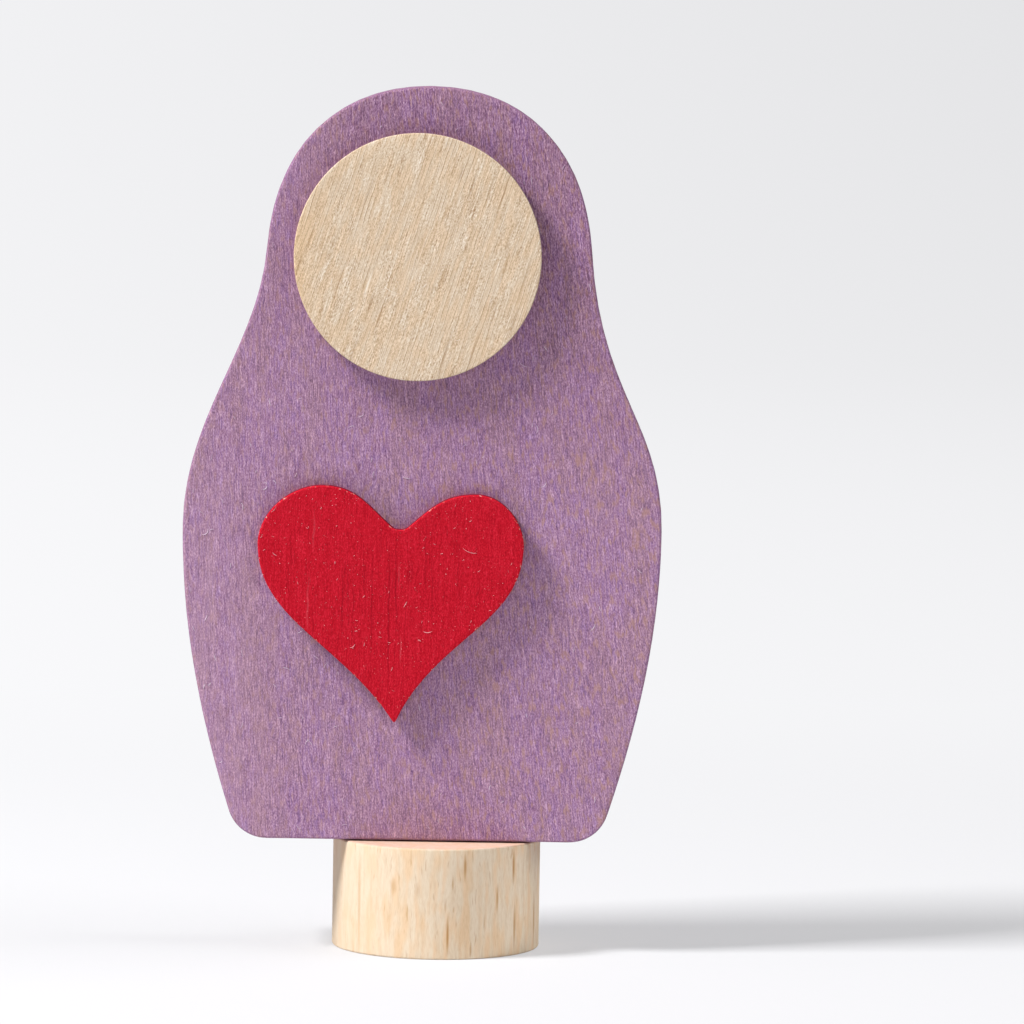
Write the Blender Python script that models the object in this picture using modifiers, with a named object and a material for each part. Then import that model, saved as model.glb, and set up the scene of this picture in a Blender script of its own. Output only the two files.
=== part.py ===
"""A flat wooden doll figure that plugs into a ring or stands by itself.

A board is cut to a nesting doll's outline. A round face disc and a heart are glued to its front, and a round
plug is glued and dowelled under it. Sizes are in metres, +Z is up, the front faces -Y, and the origin is the
centre of the plug's underside.
"""

import math

import bmesh
import bpy

MM = 0.001

# The plug that stands in a ring's hole, or on a table
PLUG_DIAMETER = 19.0 * MM
PLUG_HEIGHT = 10.1 * MM
PLUG_EDGE = 0.3 * MM

# The board: the head is measured down from its crown, the belly up from its straight bottom edge. The head
# sits a little to the right of the belly's middle line.
BOARD_HEIGHT = 68.35 * MM
BOARD_THICKNESS = 10.0 * MM
HEAD_HEIGHT = 14.6 * MM
HEAD_SIDE_SHIFT = 0.28 * MM
NECK_WIDTH = 29.35 * MM
BELLY_WIDTH = 43.4 * MM
BELLY_HEIGHT = 28.45 * MM
BASE_WIDTH = 32.8 * MM
BASE_CORNER_RADIUS = 3.6 * MM
BOARD_EDGE = 0.3 * MM
BOARD_SIDE_SHIFT = -1.75 * MM

# The board's slope outwards, per unit of height, at the neck going down and at the base going up
NECK_FLARE = 0.07
BASE_FLARE = 0.32

# How far each stretch of the board's outline keeps its direction, as a share of the stretch
CROWN_FULLNESS = 0.59
HEAD_FULLNESS = 0.62
NECK_RIGHT_FULLNESS = 0.515
NECK_LEFT_FULLNESS = 0.355
SHOULDER_FULLNESS = 0.39
HIP_FULLNESS = 0.33
SKIRT_FULLNESS = 0.30

# The face disc, placed down from the crown and aside from the board's middle line
DISC_DIAMETER = 22.35 * MM
DISC_THICKNESS = 1.4 * MM
DISC_EDGE = 0.3 * MM
DISC_SIDE_SHIFT = -0.78 * MM
DISC_CENTRE_DROP = 15.3 * MM

# The heart, midway between the disc and the bottom edge but for a small raise: its sizes are measured from
# its tip, its left lobe is the fuller one, and its notch is cut blunt
HEART_THICKNESS = 1.3 * MM
HEART_EDGE = 0.15 * MM
HEART_SIDE_SHIFT = -2.27 * MM
HEART_RAISE = 0.65 * MM
HEART_NOTCH_HEIGHT = 17.64 * MM
HEART_NOTCH_WIDTH = 0.95 * MM
HEART_NOTCH_SIDE_SHIFT = 0.27 * MM
HEART_RIGHT_REACH = 11.5 * MM
HEART_RIGHT_LOBE_SIDE = 7.2 * MM
HEART_RIGHT_LOBE_HEIGHT = 20.9 * MM
HEART_LEFT_REACH = 12.6 * MM
HEART_LEFT_LOBE_SIDE = 6.8 * MM
HEART_LEFT_LOBE_HEIGHT = 21.55 * MM
HEART_WIDEST_HEIGHT = 16.2 * MM
HEART_NOTCH_ANGLE = math.radians(40.5)
HEART_TIP_RIGHT_ANGLE = math.radians(66.0)
HEART_TIP_LEFT_ANGLE = math.radians(57.0)
HEART_INNER_FULLNESS = 0.48
HEART_LOBE_FULLNESS = 0.515
HEART_SIDE_FULLNESS = 0.43
HEART_TIP_FULLNESS = 0.53

# The dowel between plug and board, and its blind holes
DOWEL_DIAMETER = 4.0 * MM
DOWEL_IN_PLUG = 6.5 * MM
DOWEL_IN_BOARD = 8.5 * MM
DOWEL_EDGE = 0.4 * MM
DOWEL_FLUTES = 8
DOWEL_FLUTE_RADIUS = 0.25 * MM

# Clearances between glued pieces
GLUE_LINE = 0.1 * MM
DOWEL_SIDE_CLEARANCE = 0.2 * MM
DOWEL_END_CLEARANCE = 0.5 * MM

# Facets
ROUND_FACETS = 96
DOWEL_FACETS = 48
FLUTE_FACETS = 12
CURVE_STEPS = 14
EDGE_STEPS = 3
SMOOTH_ANGLE = math.radians(30.0)
CUTTER_OVERRUN = 1.0 * MM
WELD_DISTANCE = 0.001 * MM
CAP_FACING = 0.5


def clear_scene():
    for old in list(bpy.data.objects):
        bpy.data.objects.remove(old, do_unlink=True)


def make_collection(name):
    group = bpy.data.collections.new(name)
    bpy.context.scene.collection.children.link(group)
    return group


def wood(name, colour, roughness):
    finish = bpy.data.materials.new(name)
    finish.use_nodes = True
    shader = finish.node_tree.nodes["Principled BSDF"]
    shader.inputs["Base Color"].default_value = (*colour, 1.0)
    shader.inputs["Roughness"].default_value = roughness
    shader.inputs["Metallic"].default_value = 0.0
    return finish


def new_piece(name, mesh, group, finish=None, parent=None):
    piece = bpy.data.objects.new(name, mesh)
    group.objects.link(piece)
    piece.parent = parent
    if finish:
        mesh.materials.append(finish)
    return piece


def new_cutter(name, mesh, group, parent=None):
    cutter = new_piece(name, mesh, group, parent=parent)
    cutter.hide_render = True
    cutter.display_type = "WIRE"
    return cutter


def rod_mesh(name, diameter, length, facets):
    # A rod along Z, centred on its own origin
    bm = bmesh.new()
    bmesh.ops.create_cone(
        bm, cap_ends=True, segments=facets, radius1=diameter / 2, radius2=diameter / 2, depth=length)
    mesh = bpy.data.meshes.new(name)
    bm.to_mesh(mesh)
    bm.free()
    return mesh


def ease_edges(piece, radius):
    bevel = piece.modifiers.new("eased edges", "BEVEL")
    bevel.width = radius
    bevel.segments = EDGE_STEPS
    bevel.limit_method = "ANGLE"
    bevel.angle_limit = SMOOTH_ANGLE
    bevel.use_clamp_overlap = True


def cut(piece, cutter):
    boolean = piece.modifiers.new("cut by " + cutter.name, "BOOLEAN")
    boolean.operation = "DIFFERENCE"
    boolean.object = cutter


def shade_round(piece):
    piece.data.shade_smooth()
    piece.data.set_sharp_from_angle(angle=SMOOTH_ANGLE)


def knot(x, y, direction, back, ahead):
    # A point that the outline passes smoothly, with how far it keeps its direction on each side. Ahead is
    # None where the outline runs straight on to the next point.
    length = math.hypot(*direction)
    dx = direction[0] / length
    dy = direction[1] / length
    behind = (x - dx * back, y - dy * back)
    before = None if ahead is None else (x + dx * ahead, y + dy * ahead)
    return (x, y), behind, before


def handle(x, y, angle, length):
    return (x + length * math.cos(angle), y + length * math.sin(angle))


def mirrored(knots):
    # The same knots on the other side, in the order that carries the outline on
    other_side = []
    for point, behind, before in reversed(knots):
        flipped = [handle and (-handle[0], handle[1]) for handle in (point, before, behind)]
        other_side.append(tuple(flipped))
    return other_side


def cut_out_mesh(name, knots, thickness):
    # A flat outline in the XY plane, filled and thickened both ways along Z
    curve = bpy.data.curves.new(name, "CURVE")
    curve.dimensions = "2D"
    curve.fill_mode = "BOTH"
    curve.extrude = thickness / 2
    spline = curve.splines.new("BEZIER")
    spline.bezier_points.add(len(knots) - 1)
    spline.use_cyclic_u = True
    spline.resolution_u = CURVE_STEPS
    for bezier, (point, behind, before) in zip(spline.bezier_points, knots):
        bezier.co = (*point, 0.0)
        bezier.handle_left_type = "FREE" if behind else "VECTOR"
        bezier.handle_right_type = "FREE" if before else "VECTOR"
        bezier.handle_left = (*(behind or point), 0.0)
        bezier.handle_right = (*(before or point), 0.0)

    drawn = bpy.data.objects.new(name + " outline", curve)
    bpy.context.scene.collection.objects.link(drawn)
    depsgraph = bpy.context.evaluated_depsgraph_get()
    mesh = bpy.data.meshes.new_from_object(drawn.evaluated_get(depsgraph))
    mesh.name = name
    bpy.data.objects.remove(drawn, do_unlink=True)
    bpy.data.curves.remove(curve)

    bm = bmesh.new()
    bm.from_mesh(mesh)
    bmesh.ops.remove_doubles(bm, verts=bm.verts, dist=WELD_DISTANCE)
    for side in (1, -1):
        cap = [face for face in bm.faces if face.normal.z * side > CAP_FACING]
        bmesh.ops.dissolve_faces(bm, faces=cap)
    bmesh.ops.recalc_face_normals(bm, faces=bm.faces)
    bm.to_mesh(mesh)
    bm.free()
    return mesh


def doll_side(head_shift, neck_fullness):
    # The knots of the right-hand side from the neck down to the bottom edge
    neck_height = BOARD_HEIGHT - HEAD_HEIGHT
    shoulder = neck_height - BELLY_HEIGHT

    # The rounded base corner: where it leaves the side, where it meets the bottom edge, and its arc's handles
    inside_angle = math.pi / 2 + math.atan(BASE_FLARE)
    run = BASE_CORNER_RADIUS / math.tan(inside_angle / 2)
    arc_handle = 4 / 3 * math.tan((math.pi - inside_angle) / 4) * BASE_CORNER_RADIUS
    side_step = run / math.hypot(1.0, BASE_FLARE)
    corner_x = BASE_WIDTH / 2 + side_step * BASE_FLARE
    bottom_x = BASE_WIDTH / 2 - run

    return [
        knot(
            head_shift + NECK_WIDTH / 2, neck_height, (NECK_FLARE, -1),
            HEAD_FULLNESS * HEAD_HEIGHT, neck_fullness * shoulder),
        knot(
            BELLY_WIDTH / 2, BELLY_HEIGHT, (0, -1),
            SHOULDER_FULLNESS * shoulder, HIP_FULLNESS * BELLY_HEIGHT),
        knot(corner_x, side_step, (-BASE_FLARE, -1), SKIRT_FULLNESS * BELLY_HEIGHT, arc_handle),
        knot(bottom_x, 0.0, (-1, 0), arc_handle, None),
    ]


def doll_outline():
    crown_reach = CROWN_FULLNESS * NECK_WIDTH / 2
    top = knot(HEAD_SIDE_SHIFT, BOARD_HEIGHT, (1, 0), crown_reach, crown_reach)
    right = doll_side(HEAD_SIDE_SHIFT, NECK_RIGHT_FULLNESS)
    left = doll_side(-HEAD_SIDE_SHIFT, NECK_LEFT_FULLNESS)
    return [top] + right + mirrored(left)


def heart_half(notch_side, reach, lobe_side, lobe_height, tip_angle):
    # The knots of the right-hand half, from the end of the blunt notch over the lobe to its widest point, and
    # the handle by which its side comes down into the tip
    inner_reach = HEART_INNER_FULLNESS * (lobe_side - notch_side)
    top_rise = lobe_height - HEART_WIDEST_HEIGHT
    notch = (notch_side, HEART_NOTCH_HEIGHT)
    half = [
        (notch, None, handle(*notch, HEART_NOTCH_ANGLE, inner_reach)),
        knot(lobe_side, lobe_height, (1, 0), inner_reach, HEART_LOBE_FULLNESS * (reach - lobe_side)),
        knot(
            reach, HEART_WIDEST_HEIGHT, (0, -1),
            HEART_LOBE_FULLNESS * top_rise, HEART_SIDE_FULLNESS * HEART_WIDEST_HEIGHT),
    ]
    return half, handle(0.0, 0.0, tip_angle, HEART_TIP_FULLNESS * HEART_WIDEST_HEIGHT)


def heart_outline():
    right, tip_right = heart_half(
        HEART_NOTCH_WIDTH / 2 + HEART_NOTCH_SIDE_SHIFT,
        HEART_RIGHT_REACH, HEART_RIGHT_LOBE_SIDE, HEART_RIGHT_LOBE_HEIGHT, HEART_TIP_RIGHT_ANGLE)
    left, tip_left = heart_half(
        HEART_NOTCH_WIDTH / 2 - HEART_NOTCH_SIDE_SHIFT,
        HEART_LEFT_REACH, HEART_LEFT_LOBE_SIDE, HEART_LEFT_LOBE_HEIGHT, HEART_TIP_LEFT_ANGLE)
    tip = ((0.0, 0.0), tip_right, (-tip_left[0], tip_left[1]))
    return right + [tip] + mirrored(left)


def make_plug(parts):
    finish = wood("natural beech", (0.88, 0.73, 0.54), 0.55)
    mesh = rod_mesh("base_plug", PLUG_DIAMETER, PLUG_HEIGHT, ROUND_FACETS)
    plug = new_piece("base_plug", mesh, parts, finish)
    plug.location = (0.0, 0.0, PLUG_HEIGHT / 2)
    ease_edges(plug, PLUG_EDGE)
    shade_round(plug)
    return plug


def make_board(parts, plug):
    # The board's own XY plane is turned upright, so that its +Z is the figure's front
    finish = wood("lilac stained lime", (0.38, 0.21, 0.35), 0.65)
    mesh = cut_out_mesh("body_board", doll_outline(), BOARD_THICKNESS)
    board = new_piece("body_board", mesh, parts, finish, plug)
    board.location = (BOARD_SIDE_SHIFT, 0.0, PLUG_HEIGHT / 2 + GLUE_LINE)
    board.rotation_euler = (math.pi / 2, 0.0, 0.0)
    ease_edges(board, BOARD_EDGE)
    shade_round(board)
    return board


def make_face_disc(parts, board):
    finish = wood("natural maple", (0.70, 0.54, 0.40), 0.55)
    mesh = rod_mesh("face_disc", DISC_DIAMETER, DISC_THICKNESS, ROUND_FACETS)
    disc = new_piece("face_disc", mesh, parts, finish, board)
    front = BOARD_THICKNESS / 2 + GLUE_LINE + DISC_THICKNESS / 2
    disc.location = (DISC_SIDE_SHIFT, BOARD_HEIGHT - DISC_CENTRE_DROP, front)
    ease_edges(disc, DISC_EDGE)
    shade_round(disc)
    return disc


def make_heart(parts, board):
    finish = wood("red stained lime", (0.55, 0.012, 0.028), 0.55)
    mesh = cut_out_mesh("heart", heart_outline(), HEART_THICKNESS)
    heart = new_piece("heart", mesh, parts, finish, board)
    front = BOARD_THICKNESS / 2 + GLUE_LINE + HEART_THICKNESS / 2
    disc_bottom = BOARD_HEIGHT - DISC_CENTRE_DROP - DISC_DIAMETER / 2
    heart_height = max(HEART_LEFT_LOBE_HEIGHT, HEART_RIGHT_LOBE_HEIGHT)
    heart.location = (HEART_SIDE_SHIFT, (disc_bottom - heart_height) / 2 + HEART_RAISE, front)
    ease_edges(heart, HEART_EDGE)
    shade_round(heart)
    return heart


def make_dowel(parts, cutters, plug):
    # The dowel lies on the plug's axis and crosses the glue line into the board
    finish = wood("beech dowel", (0.72, 0.52, 0.33), 0.6)
    length = DOWEL_IN_PLUG + GLUE_LINE + DOWEL_IN_BOARD
    mesh = rod_mesh("joint_dowel", DOWEL_DIAMETER, length, DOWEL_FACETS)
    dowel = new_piece("joint_dowel", mesh, parts, finish, plug)
    dowel.location = (0.0, 0.0, PLUG_HEIGHT / 2 - DOWEL_IN_PLUG + length / 2)
    ease_edges(dowel, DOWEL_EDGE)
    flute_length = length + 2 * CUTTER_OVERRUN
    for number in range(DOWEL_FLUTES):
        name = "dowel_flute_%d" % (number + 1)
        groove = rod_mesh(name, 2 * DOWEL_FLUTE_RADIUS, flute_length, FLUTE_FACETS)
        flute = new_cutter(name, groove, cutters, dowel)
        angle = 2 * math.pi * number / DOWEL_FLUTES
        flute.location = (DOWEL_DIAMETER / 2 * math.cos(angle), DOWEL_DIAMETER / 2 * math.sin(angle), 0.0)
        cut(dowel, flute)
    shade_round(dowel)
    return dowel


def bore_dowel_holes(cutters, plug, board):
    # One straight bore leaves a blind hole in the plug's top and one in the board's bottom edge
    depth = DOWEL_IN_PLUG + GLUE_LINE + DOWEL_IN_BOARD + 2 * DOWEL_END_CLEARANCE
    diameter = DOWEL_DIAMETER + 2 * DOWEL_SIDE_CLEARANCE
    bore = new_cutter("dowel_bore", rod_mesh("dowel_bore", diameter, depth, DOWEL_FACETS), cutters, plug)
    bore.location = (0.0, 0.0, PLUG_HEIGHT / 2 - DOWEL_IN_PLUG - DOWEL_END_CLEARANCE + depth / 2)
    cut(plug, bore)
    cut(board, bore)


def build():
    clear_scene()
    parts = make_collection("plug_in_doll_figure")
    cutters = make_collection("cutters")
    plug = make_plug(parts)
    board = make_board(parts, plug)
    make_face_disc(parts, board)
    make_heart(parts, board)
    make_dowel(parts, cutters, plug)
    bore_dowel_holes(cutters, plug, board)


build()
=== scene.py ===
# %% [markdown]
# # A flat wooden matryoshka figure on a round plug
# The figure is a sawn board in lilac stain with a blank maple disc for its face and a red heart, glued
# to a beech plug. The CAD model gives every size and place. This script gives the looks: it builds each
# wooden piece again with eased edges, raised grain and loose fibres, and stains it with node materials.

# %% Load the frame
import math
import random

import bmesh
import bpy
from mathutils import Matrix, Vector, geometry, noise


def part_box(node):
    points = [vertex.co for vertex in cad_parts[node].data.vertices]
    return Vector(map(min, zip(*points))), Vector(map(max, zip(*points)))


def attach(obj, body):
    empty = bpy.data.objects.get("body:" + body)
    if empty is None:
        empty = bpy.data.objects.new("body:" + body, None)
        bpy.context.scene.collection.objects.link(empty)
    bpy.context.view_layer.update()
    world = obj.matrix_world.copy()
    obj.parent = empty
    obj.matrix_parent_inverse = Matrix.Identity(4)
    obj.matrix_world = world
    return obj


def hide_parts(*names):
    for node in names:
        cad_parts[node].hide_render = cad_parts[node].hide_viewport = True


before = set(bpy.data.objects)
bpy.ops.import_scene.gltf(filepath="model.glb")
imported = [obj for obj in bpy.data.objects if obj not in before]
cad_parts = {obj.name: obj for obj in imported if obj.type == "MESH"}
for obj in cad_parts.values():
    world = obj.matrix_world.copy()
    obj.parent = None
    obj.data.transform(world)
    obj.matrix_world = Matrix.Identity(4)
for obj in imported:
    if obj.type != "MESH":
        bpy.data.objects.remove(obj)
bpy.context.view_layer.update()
MM = 0.001  # one millimetre in Blender's metres
print("CAD nodes:", ", ".join(sorted(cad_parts)))

# %% [markdown]
# ## Camera
# The photograph is taken from straight in front with a long lens, a little above the table, so the
# plug's top shows as a thin ellipse. A nearer camera with a shorter lens would frame the figure too, but
# the curve of the plug's foot fixes how steeply the view looks down. The camera is rolled by about a
# degree, because the figure leans by that much in the picture. Angles are in degrees.

# %% Camera
CAMERA_PLACE = Vector((0, -535, 84)) * MM
CAMERA_HEADING = -0.685
CAMERA_PITCH = 4.713
CAMERA_ROLL = 0.95
CAMERA_LENS = 206.7
NEAREST_SEEN = 10 * MM


def aim(place, heading, pitch, roll):
    """A camera's matrix: it stands at a place, turned and tipped down by angles in degrees."""
    turn = Matrix.Rotation(math.radians(heading), 4, "Z")
    tip = Matrix.Rotation(math.radians(90 - pitch), 4, "X")
    lean = Matrix.Rotation(math.radians(roll), 4, "Z")
    return Matrix.Translation(place) @ turn @ tip @ lean


camera = bpy.data.objects.new("camera", bpy.data.cameras.new("camera"))
camera.data.lens = CAMERA_LENS
camera.data.clip_start = NEAREST_SEEN
camera.matrix_world = aim(CAMERA_PLACE, CAMERA_HEADING, CAMERA_PITCH, CAMERA_ROLL)
bpy.context.scene.collection.objects.link(camera)
bpy.context.scene.camera = camera
bpy.context.scene.view_settings.view_transform = "Standard"
print("camera", [round(c, 3) for c in camera.location], "lens", CAMERA_LENS)

# %% [markdown]
# ## Colours and nodes
# Colours are written as they look on a screen, as sRGB hex, and one function turns them to the linear
# values that shaders use. Another small function adds any node: settings by name, inputs in the order
# of its sockets or by their names. It gives back the socket that comes out, ready for the next node.

# %% Colour and node helpers


def colour(hex_code):
    """A linear colour with alpha from an sRGB hex code such as #A37D99."""
    parts = [int(hex_code[i:i + 2], 16) / 255 for i in (1, 3, 5)]
    return [c / 12.92 if c <= 0.04045 else ((c + 0.055) / 1.055) ** 2.4 for c in parts] + [1.0]


def add(tree, kind, inputs=(), out=None, stops=(), **settings):
    """Adds a shader node and gives its output socket, the first in use unless out names another.

    inputs is a list in the order of the sockets in use, or a dict by name; each is a value, a hex
    colour or another socket. stops are the (place, hex or grey) pairs of a colour ramp.
    """
    made = tree.nodes.new("ShaderNode" + kind)
    for name, value in settings.items():
        setattr(made, name, value)
    for number, (place, value) in enumerate(stops):
        points = made.color_ramp.elements
        point = points[number] if number < len(points) else points.new(place)
        point.position = place
        point.color = colour(value) if isinstance(value, str) else (value, value, value, 1.0)
    sockets = [s for s in made.inputs if s.enabled]
    for key, value in inputs.items() if isinstance(inputs, dict) else enumerate(inputs):
        socket = sockets[key] if isinstance(key, int) else made.inputs[key]
        if isinstance(value, bpy.types.NodeSocket):
            tree.links.new(value, socket)
        else:
            socket.default_value = colour(value) if isinstance(value, str) else value
    return made.outputs[out] if out else next((s for s in made.outputs if s.enabled), None)


def start_material(name):
    """An empty node material, its tree and its Principled shader, joined to the output."""
    material = bpy.data.materials.new(name)
    material.use_nodes = True
    tree = material.node_tree
    tree.nodes.clear()
    surface = add(tree, "BsdfPrincipled")
    add(tree, "OutputMaterial", [surface])
    return material, tree, surface.node


print("mid grey #808080 is", round(colour("#808080")[0], 3), "in linear light")

# %% [markdown]
# ## Stage
# The figure stands on a white paper sweep: a sheet that lies flat and curves up far behind it, so that
# no edge shows. A flat floor and a wall would do, but the curve gives the smooth fade of a studio. Near
# the figure the paper is shaded, so it keeps the shadow, but a painted glow seen by the camera only
# lightens that shadow. Further back only the glow is seen: a pale tone, painted darker further back and
# to the right, because a photographer would light the background by itself. The paper that throws
# light up at the figure is a little paler than the paper that is seen, so that each can be matched alone.

# %% Paper sweep
# The sheet in metres: it bends up by a quarter circle with the radius SWEEP_BEND.
SWEEP_WIDTH = 5.0
SWEEP_FRONT = -2.2
SWEEP_BEND_START = 0.9
SWEEP_BEND = 0.7
SWEEP_TOP = 2.4
BEND_STEPS = 24
PAPER = "#DADADC"
PAPER_SEEN = "#D0D0D2"
# The plain tone, a painted glow, has the share PAPER_LIFT at the figure, where it lightens the shadow,
# and takes over between these metres behind it.
PAPER_LIFT = 0.42
FADE_START = 0.04
FADE_END = 0.2
# It greys slowly up to TONE_END metres behind, and falls by SIDE_FALL for each metre to the right,
# as a painted fall of light.
TONE_END = 1.3
SIDE_FALL = 0.37
BACKDROP_TONES = (
    (0.0, "#F8F8FA"), (0.2, "#F6F6F8"), (0.38, "#F4F4F6"), (0.66, "#F0F0F2"), (1.0, "#EBEBED"))


def seen_directly(tree):
    """1 where the camera sees a surface straight on, in a gloss or through glass, else 0."""
    straight = add(tree, "LightPath", out="Is Camera Ray")
    glossy = add(tree, "Math", [straight, straight.node.outputs["Is Glossy Ray"]], operation="ADD")
    return add(tree, "Math", [glossy, straight.node.outputs["Is Transmission Ray"]], operation="MAXIMUM")


def make_sweep():
    """A strip of floor that bends up into a wall, as one smooth sheet."""
    side = [(SWEEP_FRONT, 0.0)]
    for k in range(BEND_STEPS + 1):
        a = math.radians(90) * k / BEND_STEPS
        side.append((SWEEP_BEND_START + SWEEP_BEND * math.sin(a), SWEEP_BEND * (1 - math.cos(a))))
    side.append((SWEEP_BEND_START + SWEEP_BEND, SWEEP_TOP))
    bm = bmesh.new()
    rows = [[bm.verts.new((s * SWEEP_WIDTH / 2, y, z)) for s in (-1, 1)] for y, z in side]
    for low, high in zip(rows, rows[1:]):
        bm.faces.new((low[0], low[1], high[1], high[0])).smooth = True
    mesh = bpy.data.meshes.new("paper_sweep")
    bm.to_mesh(mesh)
    bm.free()
    return bpy.data.objects.new("paper_sweep", mesh)


def paper():
    """Matt white paper: almost no gloss, so the shadow lies on it softly."""
    material, tree, surface = start_material("white paper, matt")
    direct = seen_directly(tree)
    shaded = add(tree, "Mix", [direct, PAPER, PAPER_SEEN], data_type="RGBA")
    tree.links.new(shaded, surface.inputs["Base Color"])
    surface.inputs["Roughness"].default_value = 0.95
    surface.inputs["Specular IOR Level"].default_value = 0.1
    aside = add(tree, "SeparateXYZ", [add(tree, "TexCoord", out="Object")])
    behind = aside.node.outputs["Y"]
    depth = add(tree, "MapRange", {"Value": behind, "From Min": FADE_START, "From Max": TONE_END})
    tone = add(tree, "ValToRGB", [depth], stops=BACKDROP_TONES)
    level = add(tree, "Math", [aside, -SIDE_FALL, 1.0], operation="MULTIPLY_ADD")
    # The glow is painted light, seen by the camera only: it lightens the shadow near the figure and is the
    # backdrop.
    glow = add(tree, "Emission", [tone, level])
    fade = add(tree, "MapRange", {"Value": behind, "From Min": FADE_START, "From Max": FADE_END,
                                  "To Min": PAPER_LIFT}, interpolation_type="SMOOTHSTEP")
    seen = add(tree, "Math", [fade, direct], operation="MULTIPLY")
    mixed = add(tree, "MixShader", [seen, surface.outputs[0], glow])
    tree.links.new(mixed, tree.get_output_node("ALL").inputs["Surface"])
    return material


sweep = make_sweep()
sweep.data.materials.append(paper())
bpy.context.scene.collection.objects.link(sweep)
print("sweep bends from", SWEEP_BEND_START, "m behind the figure")

# %% [markdown]
# ## Light
# A small soft box stands high on the left and a little in front, so shadows fall to the right and blur
# only slowly. A wide, weaker one on the right lightens the plug's shaded side, and the white room gives
# the rest. A sun lamp could be the key, but a box at a real distance also lets the light fall off across
# the floor, as it does in a studio. Distances and sizes are in metres, bearings and heights in degrees.

# %% Lamps and room
KEY_BEARING = 20
KEY_HEIGHT = 48
KEY_DISTANCE = 0.8
KEY_SIZE = (0.2, 0.18)
KEY_POWER = 9.9
SIDE_BEARING = 178
SIDE_HEIGHT = 42
SIDE_DISTANCE = 0.8
SIDE_SIZE = (0.6, 0.6)
SIDE_POWER = 3.6
ROOM = 0.14
ROOM_LIGHT = "#FBFBFF"
ROOM_SEEN = "#F0F0F2"
AIM_HEIGHT = 40 * MM


def softbox(name, bearing, height, distance, size, power):
    """A soft light; bearing is degrees from the left towards the front, height is above level."""
    b, h = math.radians(bearing), math.radians(height)
    away = Vector((-math.cos(b) * math.cos(h), -math.sin(b) * math.cos(h), math.sin(h)))
    lamp = bpy.data.lights.new(name, "AREA")
    lamp.shape = "RECTANGLE"
    lamp.size, lamp.size_y = size
    lamp.energy = power
    made = bpy.data.objects.new(name, lamp)
    made.location = away * distance + Vector((0, 0, AIM_HEIGHT))
    made.rotation_euler = away.to_track_quat("Z", "Y").to_euler()
    made.visible_camera = False
    bpy.context.scene.collection.objects.link(made)
    return made


def white_room():
    """Even light from all round. The camera sees it as a pale wall, where the paper doesn't reach."""
    world = bpy.data.worlds.new("studio")
    world.use_nodes = True
    tree = world.node_tree
    tree.nodes.clear()
    lit = add(tree, "Background", [ROOM_LIGHT, ROOM])
    seen = add(tree, "Background", [ROOM_SEEN, 1.0])
    mixed = add(tree, "MixShader", [seen_directly(tree), lit, seen])
    add(tree, "OutputWorld", [mixed])
    return world


softbox("key_softbox", KEY_BEARING, KEY_HEIGHT, KEY_DISTANCE, KEY_SIZE, KEY_POWER)
softbox("side_softbox", SIDE_BEARING, SIDE_HEIGHT, SIDE_DISTANCE, SIDE_SIZE, SIDE_POWER)
bpy.context.scene.world = white_room()
print("key at", KEY_DISTANCE, "m, room level", ROOM)

# %% [markdown]
# ## Outlines
# The board and the heart are sawn round a drawn line. The CAD solids already hold those lines, in the
# ring of vertices just below the eased front edge, so the outline is read from there and never typed in:
# a curve drawn again by hand would be a second copy, and the two could drift apart. The line is then
# spaced evenly and relaxed a little, as hand sanding takes the corners off. Sizes are in mm.

# %% Read outlines from the CAD solids
STEP = 0.25
FINE_STEP = 0.2
SAME_LEVEL = 0.01
DEPTH = 1  # the world's Y axis, from front to back
UP = 2  # the world's Z axis
# How far the eased edge of each CAD solid reaches in from its face.
BOARD_EDGE = 0.3
DISC_EDGE = 0.3
HEART_EDGE = 0.15
PLUG_EDGE = 0.3


def ring_of(name, across, level):
    """The outline of a CAD node, in order, from its vertices at one level along the axis across."""
    flat = [i for i in range(3) if i != across]
    points = {(round(v.co[flat[0]] / MM, 3), round(v.co[flat[1]] / MM, 3))
              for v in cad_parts[name].data.vertices
              if abs(v.co[across] / MM - level) < SAME_LEVEL}
    middle = sum((Vector(p) for p in points), Vector((0, 0))) / len(points)
    return [Vector(p) for p in sorted(points, key=lambda p: math.atan2(p[1] - middle.y, p[0] - middle.x))]


def even(line, step):
    """The same closed line with its points a set distance apart."""
    pairs = list(zip(line, line[1:] + line[:1]))
    total = sum((b - a).length for a, b in pairs)
    count = round(total / step)
    points, walked = [], 0.0
    for a, b in pairs:
        length = (b - a).length
        while len(points) < count and len(points) * total / count < walked + length:
            points.append(a.lerp(b, (len(points) * total / count - walked) / length))
        walked += length
    return points


def sanded(line, passes):
    """A closed line with its corners eased, each point drawn towards its two neighbours."""
    for _ in range(passes):
        line = [(a + 2 * b + c) / 4 for a, b, c in zip(line[-1:] + line[:-1], line, line[1:] + line[:1])]
    return line


def sides(name, across):
    """The lowest and highest level of a CAD node along an axis, in mm."""
    low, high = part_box(name)
    return low[across] / MM, high[across] / MM


board_front, board_back = sides("body_board", DEPTH)
board_line = sanded(even(ring_of("body_board", DEPTH, board_front + BOARD_EDGE), STEP), passes=2)
heart_front, heart_back = sides("heart", DEPTH)
heart_line = sanded(even(ring_of("heart", DEPTH, heart_front + HEART_EDGE), FINE_STEP), passes=1)
disc_front, disc_back = sides("face_disc", DEPTH)
disc_line = sanded(even(ring_of("face_disc", DEPTH, disc_front + DISC_EDGE), STEP), passes=2)
plug_foot, plug_top = sides("base_plug", UP)
plug_line = sanded(even(ring_of("base_plug", UP, plug_foot + PLUG_EDGE), STEP), passes=2)
print("outline points: board", len(board_line), "heart", len(heart_line), "disc", len(disc_line))

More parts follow.
